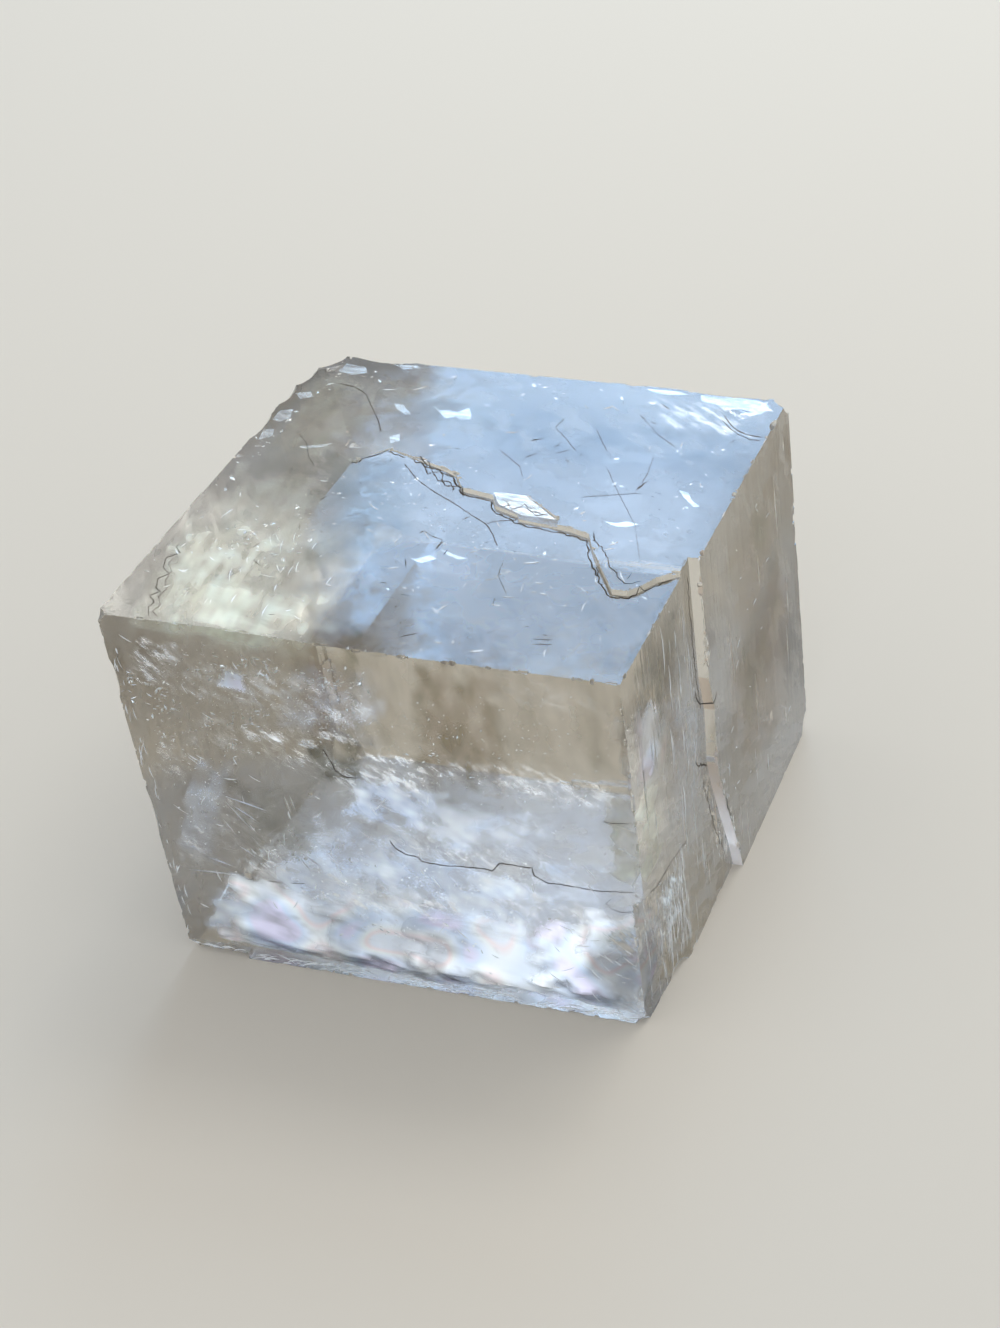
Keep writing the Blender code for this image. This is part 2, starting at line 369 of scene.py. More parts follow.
def finishFaces(mesh):
    toCrystal = inCrystal.inverted()
    kinds = [faceKind(face, toCrystal @ face.center) for face in mesh.polygons]
    pattern = mesh.attributes.new("pattern", "FLOAT_VECTOR", "FACE")
    for kind, value in zip(kinds, pattern.data):
        value.vector = [1.0 / size for size in finishes[kind]["pattern"]]
    for name in ("height", "roughness", "rubbed"):
        layer = mesh.attributes.new(name, "FLOAT", "FACE")
        layer.data.foreach_set("value", [finishes[kind][name] for kind in kinds])
    layer = mesh.attributes.new("film", "FLOAT", "FACE")
    layer.data.foreach_set("value", [float(kind == "film") for kind in kinds])


# calcite split along its cleavage: flat glassy faces with a waxy lustre, faintly wavy and scored, and a
# honey tint that deepens with thickness; where it's broken rather than split it goes finely rough
calcite = {
    "ior": 1.63,
    "filmColour": "#f2dfd2",
    "tint": "#e0dacd",
    "tintDensity": 20.0,  # per metre
    "smearSize": 4.5,  # millimetres
    "smears": (0.4, 0.7),  # the noise level where they start and where they are full
    "rubbedSpots": ((38.5, 20.5), (41.0, 31.0), (39.5, 45.0), (38.0, 53.0), (38.0, 8.0)),  # on the top
    "rubbedReach": (11.0, 1.0),  # millimetres from the middle: where it starts and where it is full
    "rubbedStray": 9.0,  # millimetres that its rim wanders
    "rubbedRoughness": 0.16,
}


def cleavedCalcite():
    material, tree = newMaterial("cleaved_calcite")
    place, pattern, height, cleanest, rubbed, film = (
        addNode(tree, "Attribute", {"attribute_name": name})
        for name in ("crystal", "pattern", "height", "roughness", "rubbed", "film")
    )
    scaled = addNode(tree, "VectorMath", {"operation": "MULTIPLY"},
        links={0: (place, "Vector"), 1: (pattern, "Vector")})
    waves = addNode(tree, "TexNoise", values={"Scale": 1.0, "Detail": 1.5, "Roughness": 0.5},
        links={"Vector": scaled})
    raised = addNode(tree, "Math", {"operation": "MULTIPLY"}, links={0: waves, 1: (height, "Fac")})
    bump = addNode(tree, "Bump", values={"Strength": 1.0, "Distance": mm}, links={"Height": raised})
    smears = addNode(tree, "TexNoise",
        values={"Scale": 1.0 / calcite["smearSize"], "Detail": 2.0, "Roughness": 0.65},
        links={"Vector": (place, "Vector")})
    share = addNode(tree, "MapRange",
        values={"From Min": calcite["smears"][0], "From Max": calcite["smears"][1]},
        links={"Value": smears})
    roughness = addNode(tree, "Math", {"operation": "MULTIPLY_ADD"},
        links={0: share, 1: (rubbed, "Fac"), 2: (cleanest, "Fac")})
    starts, full = calcite["rubbedReach"]
    for spot in calcite["rubbedSpots"]:
        reach = addNode(tree, "VectorMath", {"operation": "DISTANCE"}, values={1: (*spot, 0.0)},
            links={0: (place, "Vector")})
        strayed = addNode(tree, "Math", {"operation": "MULTIPLY_ADD"}, values={1: calcite["rubbedStray"]},
            links={0: share, 2: (reach, "Value")})
        near = addNode(tree, "MapRange", {"interpolation_type": "SMOOTHSTEP"},
            values={"From Min": starts, "From Max": full, "To Max": calcite["rubbedRoughness"]},
            links={"Value": strayed})
        roughness = addNode(tree, "Math", {"operation": "MAXIMUM"}, links={0: near, 1: roughness})
    colour = addNode(tree, "Mix", {"data_type": "RGBA"},
        values={6: (1.0, 1.0, 1.0, 1.0), 7: linear(calcite["filmColour"])}, links={0: (film, "Fac")})
    shader = addNode(tree, "BsdfPrincipled", values={"IOR": calcite["ior"], "Transmission Weight": 1.0},
        links={"Base Color": (colour, 2), "Roughness": roughness, "Normal": bump})
    tint = addNode(tree, "VolumeAbsorption",
        values={"Color": linear(calcite["tint"]), "Density": calcite["tintDensity"]})
    addNode(tree, "OutputMaterial", links={"Surface": shader, "Volume": tint})
    return material


skin = skinPiece()
skin.data.materials.append(cleavedCalcite())
for face in skin.data.polygons:
    face.material_index = 0
finishFaces(skin.data)
keepCrystalPlaces(skin.data)
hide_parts("calcite_crystal")
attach(skin, "root")
print("skin", len(skin.data.polygons), "faces")

# what is sealed in the crystal or lies in its surface

skinTree = BVHTree.FromPolygons(
    [vert.co for vert in skin.data.vertices], [tuple(face.vertices) for face in skin.data.polygons]
)
throughAxis = {"top": 2, "front": 1, "right": 0}
probeDistance = 8.0  # millimetres outside a face, where the search for its surface starts


def onFace(face, first, second, under, deepest=None):
    # the spot at two distances along a face, some millimetres under its surface (above it, if negative), or
    # nothing where the surface lies deeper than the deepest
    axis = throughAxis[face]
    across = [n for n in (0, 1, 2) if n != axis]
    outside = Vector((0.0, 0.0, 0.0))
    outside[axis] = -probeDistance
    outside[across[0]], outside[across[1]] = first, second
    inwards = Vector((0.0, 0.0, 0.0))
    inwards[axis] = 1.0
    hit, _, _, reach = skinTree.ray_cast(inCrystal @ outside, (turnOnly @ inwards).normalized())
    if deepest is not None and (hit is None or reach > (probeDistance + deepest) * mm):
        return None
    if hit is None:
        hit = inCrystal @ (outside + inwards * probeDistance)
    return hit - normals[face] * under * mm


threadWidths = (0.55, 1.25)  # as shares of the width asked for
threadRidge = 0.01  # millimetres that its back stands up


def thread(bm, spots, normal, width, depth, chance):
    # a pointed, uneven line through spots in metres, sunk into the surface that it marks
    rings = []
    last = len(spots) - 1
    for n, spot in enumerate(spots):
        along = (spots[min(n + 1, last)] - spots[max(n - 1, 0)]).normalized()
        across = along.cross(normal).normalized()
        if n in (0, last):
            rings.append([bm.verts.new(spot)])
            continue
        half = width / 2 * mm * chance.uniform(*threadWidths)
        sides = (across * half, -normal * depth * mm, -across * half, normal * threadRidge * mm)
        rings.append([bm.verts.new(spot + side) for side in sides])
    for start, end in zip(rings, rings[1:]):
        for n in range(4):
            around = ((start, n), (start, n + 1), (end, n + 1), (end, n))
            bm.faces.new(list(dict.fromkeys(ring[k % len(ring)] for ring, k in around)))


def mottled(name, look):
    # a solid finish whose two tones lie in soft patches
    material, tree = newMaterial(name)
    place = addNode(tree, "Attribute", {"attribute_name": "crystal"})
    patches = addNode(tree, "TexNoise",
        values={"Scale": 1.0 / look["patchSize"], "Detail": look["patchDetail"]},
        links={"Vector": (place, "Vector")})
    tone = addNode(tree, "Mix", {"data_type": "RGBA"},
        values={6: linear(look["colours"][0]), 7: linear(look["colours"][1])}, links={0: patches})
    shader = addNode(tree, "BsdfPrincipled",
        values={"Roughness": look["roughness"], "Metallic": look["metallic"]},
        links={"Base Color": (tone, 2)})
    addNode(tree, "OutputMaterial", links={"Surface": shader})
    return material


def crackLine(bm, face, corners, width, chance, wander, step):
    # corners joined by a line that wanders a little, drawn on a face
    spots = []
    for start, end in zip(corners, corners[1:]):
        run = math.dist(start, end)
        count = max(2, round(run / step))
        for n in range(count):
            share = n / count
            place = [a + (b - a) * share + chance.uniform(-wander, wander) for a, b in zip(start, end)]
            spots.append(onFace(face, *place, -cracks["proud"]))
    spots.append(onFace(face, *corners[-1], -cracks["proud"]))
    thread(bm, spots, normals[face], width, cracks["depth"], chance)


# hairline cracks that reach the surface: face, width in millimetres, then (two distances) along the crack
cracks = {
    "seed": 5,
    "proud": 0.02,  # how far the dark fill in them, dust and painted shade, stands above the face, and how deep it goes
    "depth": 0.14,
    "wander": 0.05,
    "step": 0.45,
    "lines": (
        ("front", 0.14, (30.6, 25.4), (30.1, 26.5), (29, 27.2), (27.5, 27.3), (27.1, 27.9), (24.5, 27.9),
         (20, 27.5), (18.7, 27.6), (17.6, 26.3), (13.8, 26.3), (13.7, 27.3), (12.4, 28.1), (10.3, 28),
         (6.2, 28.1), (1.9, 27.5)),
        ("front", 0.08, (50.3, 34.6), (48.6, 34.5)),
        ("front", 0.1, (47.6, 34.4), (45.4, 34.2)),
        ("front", 0.08, (44.6, 34.1), (42.5, 33.9)),
        ("front", 0.08, (4.7, 18.3), (3.3, 18.3), (1.2, 18)),
        ("front", 0.06, (4.8, 28.8), (5.6, 29.7), (5.1, 30.4), (3.9, 30.7), (2.2, 30.2)),
        ("front", 0.14, (36.3, 14), (35.7, 15.5), (35.3, 16.9), (34.3, 17.5), (32.8, 17.5)),
        ("top", 0.12, (57.7, 13.8), (57.4, 12.9), (56.5, 12.1), (57.6, 10.9), (57, 9.1), (55.7, 8.2),
         (56.5, 7.1), (55.9, 5.6), (55.1, 5), (55.8, 4.1), (54.7, 3), (54.9, 2.1), (54, 0.5)),
        ("top", 0.08, (56.9, 11.1), (56.7, 9.8), (55.7, 8.6), (55.5, 6.8), (54.6, 5.5), (54.7, 4),
         (53.8, 2.7), (54, 1.5), (52.9, 0.6)),
        ("top", 0.12, (39.4, 33.9), (36.7, 31.3), (33.5, 29.2), (30.6, 27.8), (27.7, 26), (25.3, 24.6),
         (24.2, 23.5), (22.1, 20.6)),
        ("top", 0.08, (25.3, 24.6), (23.8, 25.4), (21.8, 26)),
        ("top", 0.12, (55.3, 48.8), (52.5, 48.4), (50.3, 47), (47.9, 43.8), (45.8, 41), (44.9, 39.4)),
        ("top", 0.08, (55.1, 37.7), (52.8, 35.7), (51.2, 33), (49.6, 31.2)),
        ("top", 0.14, (5.3, 50.4), (3.8, 48.4), (2.5, 47.4), (1.3, 46.7), (-0.7, 46.5)),
        ("top", 0.1, (5.3, 49.5), (3.8, 47.8), (2.4, 46.7), (0.6, 45.8), (-0.9, 45.7)),
        ("top", 0.1, (11.8, 5.5), (9.7, 5.8)),
        ("top", 0.1, (11.5, 4.7), (9.4, 5)),
        ("top", 0.14, (28.9, 18.7), (28.6, 20.6)),
        ("top", 0.08, (31.9, 21.2), (31.5, 21.9), (30.5, 21.2), (28.8, 20.7), (28.7, 18.8)),
        ("top", 0.07, (20.4, 18), (20, 15.6), (18.6, 13.7), (17.7, 12.5)),
        ("top", 0.06, (24, 46.5), (24.4, 44.1), (22.1, 41.9), (20.1, 39.7)),
        ("top", 0.07, (19.4, 44.7), (17.5, 41.8), (16.4, 40.3)),
        ("top", 0.05, (16.1, 30.6), (11.8, 32), (9.4, 32.7)),
        ("top", 0.05, (15.4, 37.3), (11.7, 31.8), (7.9, 26.5), (5.1, 20.3)),
        ("top", 0.05, (10.6, 40.4), (10.1, 36.7), (10.1, 32.7)),
        ("top", 0.06, (29.1, 38.3), (26.9, 36.6), (25.2, 35.2), (24.2, 33.3)),
        ("top", 0.05, (15.4, 48.7), (11.4, 44.6), (8.7, 42.6)),
        ("right", 0.12, (1.6, 29), (4.7, 30), (8.5, 30.4), (13.6, 31.6)),
    ),
    # broken edges, drawn with more of a zigzag
    "serrated": (
        ("top", 0.2, (26.6, 29), (25.3, 26.9), (22.3, 25.7), (21.9, 25.2), (17.9, 24.6), (15.1, 24.3),
         (12.7, 23.6), (11.3, 20.8), (9, 17.4)),
        ("top", 0.2, (39.3, 34.9), (33.8, 33), (32.3, 32.2), (30.4, 29.7), (26.6, 29)),
        ("top", 0.16, (38, 35.4), (35.6, 32.6), (34.4, 33.2), (33, 30.8), (31.2, 31), (30, 29.2)),
        ("top", 0.14, (36.8, 35), (34.2, 31.4), (32.4, 31.6), (31.6, 29.8)),
        ("top", 0.14, (12.2, 24.8), (10.9, 22.4), (9.4, 20.9), (8.2, 18.9), (6.8, 17.4), (5.2, 15.8),
         (3.4, 16.6)),
        ("top", 0.16, (9.8, 19.4), (8.6, 16.6), (6.4, 14), (4.4, 14.1), (2.4, 16.8), (0.6, 18.5)),
        ("top", 0.16, (45.7, 32.2), (42.3, 35.8), (39.6, 35)),
        ("top", 0.1, (24.6, 28.6), (22.8, 27.4), (22, 28.2), (20.2, 26.8), (18.6, 27)),
        ("right", 0.16, (19.8, 15.6), (20.6, 17.6), (21.4, 18.8), (22.9, 18.9), (23.4, 18)),
        ("right", 0.1, (21, 1), (20.8, 8), (20.9, 15), (21.6, 19.6)),
        ("right", 0.22, (18.3, 24), (19.4, 25.6), (20.8, 26.6), (21.8, 27.6)),
        ("right", 0.1, (20.2, 28.4), (21.4, 33), (22.6, 37.6), (24.8, 42.6)),
        ("right", 0.12, (23.8, 33.2), (24.2, 35.4), (24.9, 37.8)),
    ),
    "serratedWander": 0.22,
    "serratedStep": 0.6,
    # short ticks strewn over the top
    "ticks": {
        "count": 70,
        "left": (1.0, 56.0),
        "back": (1.0, 53.0),
        "lengths": (0.3, 1.6),
        "widths": (0.05, 0.12),
        "wander": 0.08,
    },
    # dust settled in a crack, with the shade inside the crack painted in: dull and almost black brown, so the
    # crack reads as a fine dark line
    "patchSize": 0.714,
    "patchDetail": 2.0,
    "colours": ("#211d18", "#54483a"),
    "roughness": 0.8,
    "metallic": 0.0,
}


def crackPiece():
    chance = random.Random(cracks["seed"])
    bm = bmesh.new()
    for face, width, *corners in cracks["lines"]:
        crackLine(bm, face, corners, width, chance, cracks["wander"], cracks["step"])
    for face, width, *corners in cracks["serrated"]:
        crackLine(bm, face, corners, width, chance, cracks["serratedWander"], cracks["serratedStep"])
    ticks = cracks["ticks"]
    for _ in range(ticks["count"]):
        start = (chance.uniform(*ticks["left"]), chance.uniform(*ticks["back"]))
        angle = chance.uniform(0.0, math.pi)
        length = chance.uniform(*ticks["lengths"]) ** 1.5  # more short ones than long
        end = (start[0] + length * math.cos(angle), start[1] + length * math.sin(angle))
        width = chance.uniform(*ticks["widths"])
        crackLine(bm, "top", (start, end), width, chance, ticks["wander"], cracks["step"])
    bmesh.ops.recalc_face_normals(bm, faces=bm.faces)
    # their dark fill is dust together with painted shade
    newPiece("hairlineCracks", bm, mottled("crack_dust_and_shade", cracks))


crackPiece()
print("cracks")

# fine scratches in the surfaces: face, how many, the spans of the two distances along it, their direction and
# how far it strays in degrees, then the span of their lengths
scratches = {
    "seed": 19,
    "proud": 0.03,  # how far the powder in them stands above the face
    "width": 0.16,
    "widthShares": (0.3, 1.2),  # of that width
    "depth": 0.04,
    "bend": 0.12,  # radians, from the middle to an end
    "deepest": 3.6,  # one that would run further below its face than this is left out
    "longestGap": 4.0,  # as is one that would jump further than this between two of its spots
    "places": (
        ("top", 46, (4, 34), (2, 24), (30, 50), (0.5, 2.6)),
        ("top", 44, (2, 56), (2, 52), (30, 50), (0.4, 2.2)),
        ("top", 20, (14, 24), (13, 20), (60, 60), (0.3, 1)),
        ("top", 26, (40, 57), (4, 22), (80, 20), (0.6, 3)),
        ("front", 40, (36, 58), (2, 40), (140, 40), (0.4, 2)),
        ("front", 44, (4, 40), (18, 44), (140, 40), (0.4, 2.2)),
        ("front", 26, (2, 14), (33, 44.5), (150, 25), (0.6, 2.4)),
        ("front", 150, (3, 59), (45.6, 47), (0, 14), (0.6, 3.2)),
        ("front", 30, (58.6, 59.8), (3, 44), (88, 8), (0.6, 2.4)),
        ("right", 20, (26, 52), (4, 40), (30, 60), (0.4, 1.6)),
        ("right", 34, (12, 20), (4, 27), (91, 2), (1, 7)),
        ("right", 12, (1, 7), (31, 44), (91, 3), (1, 5)),
        ("right", 70, (7.5, 12.4), (32, 45.5), (91, 3), (1, 8)),
        ("right", 24, (22.5, 26), (30, 43), (80, 12), (0.6, 2.6)),
    ),
    # calcite crushed to powder along a scratch: dull and chalky white, so the scratch reads as a pale line
    "patchSize": 2.0,
    "patchDetail": 1.0,
    "colours": ("#d9dcdc", "#fbfbf6"),
    "roughness": 0.7,
    "metallic": 0.0,
}


def scratchPiece():
    chance = random.Random(scratches["seed"])
    bm = bmesh.new()
    for face, count, firstSpan, secondSpan, (direction, stray), lengths in scratches["places"]:
        for _ in range(count):
            middle = (chance.uniform(*firstSpan), chance.uniform(*secondSpan))
            angle = math.radians(chance.gauss(direction, stray))
            reach = chance.uniform(*lengths) / 2
            spots = []
            for share in (-1.0, -0.3, 0.4, 1.0):
                turn = angle + share * scratches["bend"]
                first = middle[0] + reach * share * math.cos(turn)
                second = middle[1] + reach * share * math.sin(turn)
                spots.append(onFace(face, first, second, -scratches["proud"], scratches["deepest"]))
            if None in spots:
                continue
            if max((a - b).length for a, b in zip(spots, spots[1:])) > scratches["longestGap"] * mm:
                continue
            width = scratches["width"] * chance.uniform(*scratches["widthShares"])
            thread(bm, spots, normals[face], width, scratches["depth"], chance)
    bmesh.ops.recalc_face_normals(bm, faces=bm.faces)
    newPiece("surfaceScratches", bm, mottled("powdered_calcite", scratches))


scratchPiece()
print("scratches")

# what fills a healed or open fracture is a film. A level one has a strength, a middle (left, back, down), a
# size (across, deep) and a lean in degrees (to the right, to the front); an upright one has four corners
filmShape = {
    "cells": 18,
    "ripples": 0.3,  # per millimetre
    "tatters": 0.5,  # per millimetre, along the rim
    "tattered": 0.8,
    "faintest": 0.01,  # squares fainter than this are left out
}


def levelCorners(middle, size, lean):
    toRight, toFront = (math.tan(math.radians(angle)) for angle in lean)
    toCrystal = turnOnly.inverted()
    side = toCrystal @ (Vector((1.0, 0.0, -toRight)).normalized() * size[0] / 2 * mm)
    away = toCrystal @ (Vector((0.0, 1.0, toFront)).normalized() * size[1] / 2 * mm)
    return [Vector(middle) + side * a + away * b for a, b in ((-1, 1), (1, 1), (1, -1), (-1, -1))]


def sheet(bm, corners, strength, ripple, seed):
    # a rippled film between four corners, faded out raggedly towards its rim
    cells, ripples, tatters = filmShape["cells"], filmShape["ripples"], filmShape["tatters"]
    fade = bm.verts.layers.float.get("fade") or bm.verts.layers.float.new("fade")
    corners = [Vector(corner) for corner in corners]
    normal = (turnOnly @ (corners[1] - corners[0])).cross(turnOnly @ (corners[3] - corners[0])).normalized()
    grid = []
    for row in range(cells + 1):
        line = []
        for column in range(cells + 1):
            s, t = column / cells, row / cells
            spot = corners[0].lerp(corners[1], s).lerp(corners[3].lerp(corners[2], s), t)
            lift = noise.noise(Vector((spot.x * ripples + seed * 7.1, spot.y * ripples, spot.z * ripples)))
            vert = bm.verts.new(inCrystal @ within(spot) + normal * lift * ripple * mm)
            rim = min(s, 1.0 - s, t, 1.0 - t) * 2.0
            stray = noise.noise(Vector((spot.x * tatters, spot.y * tatters + seed, spot.z * tatters)))
            share = max(0.0, min(1.0, rim * 2.0 + filmShape["tattered"] * stray))
            vert[fade] = strength * share * share * (3.0 - 2.0 * share) if rim > 0.0 else 0.0
            line.append(vert)
        grid.append(line)
    for row in range(cells):
        for column in range(cells):
            square = ((row, column), (row, column + 1), (row + 1, column + 1), (row + 1, column))
            square = [grid[a][b] for a, b in square]
            if max(vert[fade] for vert in square) > filmShape["faintest"]:
                bm.faces.new(square)
    bmesh.ops.delete(bm, geom=[vert for vert in bm.verts if not vert.link_faces], context="VERTS")


# how far inside the faces everything sealed in stays, in millimetres
clearance = {
    "rim": 0.5,
    "front": 0.4,
    "top": 0.3,
    "corner": 2.4,  # on the right, below and in front of these two
    "cornerBelow": 27.0,
    "cornerBefore": 30.0,
}


def within(spot):
    # keeps a place inside the block, clear of its faces and of the missing corner
    byCorner = spot.z > clearance["cornerBelow"] and spot.y < clearance["cornerBefore"]
    inset = block["rightLean"] * spot.z + clearance["corner" if byCorner else "rim"]
    rim = clearance["rim"]
    return Vector((
        min(max(spot.x, inset), block["width"] - rim),
        min(max(spot.y, clearance["front"]), block["depth"] - rim),
        min(max(spot.z, clearance["top"]), block["slant"] - rim),
    ))


hueSpan = (0.32, 0.36)  # where a film's first colour sits in the noise, and the share that they all take up


def sealedFilm(name, look):
    # it shows where the noise leaves it, and fades at its rim
    material, tree = newMaterial(name)
    place = addNode(tree, "Attribute", {"attribute_name": "crystal"})
    fade = addNode(tree, "Attribute", {"attribute_name": "fade"})
    scaled = addNode(tree, "Mapping", {"vector_type": "TEXTURE"},
        values={"Scale": look["patchSize"], "Rotation": (0.0, 0.0, math.radians(look["turn"]))},
        links={"Vector": (place, "Vector")})
    patches = addNode(tree, "TexNoise", values={"Scale": 1.0, "Detail": 2.0, "Roughness": 0.7},
        links={"Vector": scaled})
    cover = addNode(tree, "MapRange", values={"From Min": look["bare"], "From Max": look["full"]},
        links={"Value": patches})
    alpha = addNode(tree, "Math", {"operation": "MULTIPLY"}, links={0: cover, 1: (fade, "Fac")})
    hues = patches
    if "hueSize" in look:
        hues = addNode(tree, "TexNoise", values={"Scale": 1.0 / look["hueSize"], "Detail": 0.0},
            links={"Vector": (place, "Vector")})
    ramp = addNode(tree, "ValToRGB", links={"Fac": hues})
    stops = ramp.color_ramp.elements
    stops.remove(stops[1])
    for n, colour in enumerate(look["colours"]):
        position = hueSpan[0] + hueSpan[1] * n / (len(look["colours"]) - 1)
        stop = stops.new(position) if n else stops[0]
        stop.position = position
        stop.color = linear(colour)
    shader = addNode(tree, "BsdfPrincipled", values={"Metallic": 1.0, "Roughness": look["roughness"]},
        links={"Base Color": ramp, "Alpha": alpha})
    addNode(tree, "OutputMaterial", links={"Surface": shader})
    return material


def filmPiece(name, materialName, look):
    bm = bmesh.new()
    for n, (strength, middle, size, lean) in enumerate(look.get("level", ())):
        sheet(bm, levelCorners(middle, size, lean), strength, look["ripple"], look["seed"] + n)
    for n, (strength, *corners) in enumerate(look.get("upright", ())):
        sheet(bm, corners, strength, look["ripple"], look["seed"] + 50 + n)
    newPiece(name, bm, sealedFilm(materialName, look))
    print(name)


# a healed fracture full of tiny flakes: a silvery white haze in short streaks
haze = {
    "seed": 3,
    "ripple": 0.1,
    "patchSize": (2.6, 0.9, 2.0),
    "turn": 30.0,
    "bare": 0.42,
    "full": 0.7,
    "colours": ("#f6f0ea", "#fffaf0"),
    "roughness": 0.32,
    "level": (
        # front, high
        (0.4, (56.3, 3.5, 8), (7, 9), (5, 16)),
        (0.26, (47.5, 3.5, 9.7), (17, 8), (5, 16)),
        (0.24, (38.8, 4.5, 10.4), (18, 9), (4, 16)),
        (0.28, (45.9, 4.5, 17.2), (20, 8), (5, 16)),
        (0.1, (9.5, 3.5, 4.7), (16, 6), (2, 16)),
        # the bright fringe above the icy part
        (0.4, (32, 3.6, 19), (16, 5.2), (4, 16)),
        (0.25, (13, 3.6, 16.6), (28, 5.6), (2, 16)),
        # bright lines
        (0.6, (43.2, 2.6, 14.9), (13, 1.8), (5, 16)),
        (0.6, (34.7, 2.6, 13.9), (7, 1.6), (4, 16)),
        (0.6, (30.3, 2.6, 15.7), (8, 1.8), (4, 16)),
        (0.6, (24.5, 2.6, 16.5), (6, 1.6), (4, 16)),
        # left strip
        (0.35, (57.4, 3, 20.7), (5, 9), (6, 16)),
        (0.35, (57.6, 3, 33), (5, 12), (6, 16)),
        # missing corner
        (0.8, (5.6, 3.5, 37), (4.5, 7), (18, 4)),
        (1, (5.4, 12, 37.6), (4.5, 7), (18, 4)),
        (1, (5.4, 10.6, 41), (4.5, 7), (17, 5)),
        # front, low
        (0.5, (49, 3, 33.4), (8, 6), (5, 16)),
        (0.2, (51, 4.5, 29.4), (12, 14), (5, 16)),
        (0.45, (33, 3, 36.5), (22, 6), (4, 16)),
        (0.26, (14, 3, 33), (16, 6), (2, 16)),
        (0.22, (22, 3, 27), (24, 8), (4, 16)),
        # under the top
        (0.15, (44.5, 32, 1.6), (14, 9), (4, 3)),
        (0.1, (48.5, 15, 1.4), (8, 13), (5, 3)),
        (0.4, (8, 50.5, 1), (16, 7), (4, 3)),
        (0.12, (28, 17, 0.9), (22, 7), (2, 3)),
    ),
    "upright": (
        # right side
        (0.5, (2.2, 1.5, 21), (2.2, 11, 29), (2.4, 10.5, 33.5), (2.2, 1, 25.5)),
        (1, (3.6, 2, 29.5), (3.6, 13, 35.5), (3.8, 10, 46), (3.8, 5, 44)),
    ),
}
filmPiece("healedHaze", "crushed_calcite", haze)

# broad veils of tiny fluid bubbles: soft, icy and cloudy, their blue tint a painted reflection of the cold
# sky
ice = {
    "seed": 30,
    "ripple": 0.12,
    "patchSize": (6.5, 3.6, 5.0),
    "turn": 28.0,
    "bare": 0.15,
    "full": 0.75,
    # painted reflection: a cold blue laid into the veils' own colour
    "colours": ("#c4d8f8", "#dae7fb", "#ebeff2"),
    "roughness": 0.33,
    "level": (
        # front
        (0.6, (33.5, 9, 26.2), (14, 9), (4, 16)),
        (0.5, (35, 6.5, 32.5), (22, 13), (4, 16)),
        (0.3, (21.4, 6.5, 25.6), (17, 10), (4, 16)),
        (0.1, (10, 6, 21.8), (15, 9), (2, 16)),
        (0.3, (11.2, 6, 31.4), (16, 10), (2, 16)),
        (0.6, (54, 4.4, 43), (10, 8), (6, 16)),
        (0.55, (26.6, 7, 36.2), (24, 13), (4, 16)),
        (0.55, (43.5, 6.5, 36.8), (15, 12), (5, 16)),
        (0.3, (56.6, 4.5, 30), (6, 26), (6, 16)),
        (0.25, (36.5, 6, 11), (13, 14), (4, 16)),
        # under the top
        (0.15, (44, 34, 2), (14, 12), (4, 3)),
        (0.12, (45, 44, 2), (10, 14), (4, 3)),
        (0.1, (31, 17, 1.6), (20, 12), (2, 3)),
    ),
}
filmPiece("icyVeils", "fluid_bubble_veil", ice)

# the same veils under the top left, tinted with painted light: the yellow of the light that comes back
# through the honey tinted side
butter = {
    "seed": 45,
    "ripple": 0.15,
    "patchSize": (7.0, 3.0, 5.0),
    "turn": 80.0,
    "bare": 0.2,
    "full": 0.85,
    # painted light: the yellow of light through the honey tinted side, laid into the veils' colour
    "colours": ("#fff4cc", "#fbf6dc", "#eef2dc"),
    "roughness": 0.38,
    "level": (
        # under the top, on its left
        (0.8, (51.5, 10.5, 2.4), (16, 20), (5, 3)),
        (0.65, (46, 5.5, 2.2), (24, 11), (5, 3)),
        (0.3, (44, 16, 2.4), (13, 14), (5, 3)),
        (0.35, (52.5, 24, 2.6), (14, 16), (5, 3)),
        (0.25, (51, 43, 2.6), (19, 22), (6, 4)),
        (0.12, (40, 47, 2.6), (14, 12), (6, 4)),
        # right side
        (0.9, (4.6, 7.2, 21.2), (5, 7), (20, 5)),
        (1, (4.6, 6.8, 24.7), (5, 7), (19, 5)),
        (0.9, (4.8, 6.2, 28), (5, 7), (18, 5)),
    ),
}
filmPiece("butterVeils", "honey_lit_veil", butter)

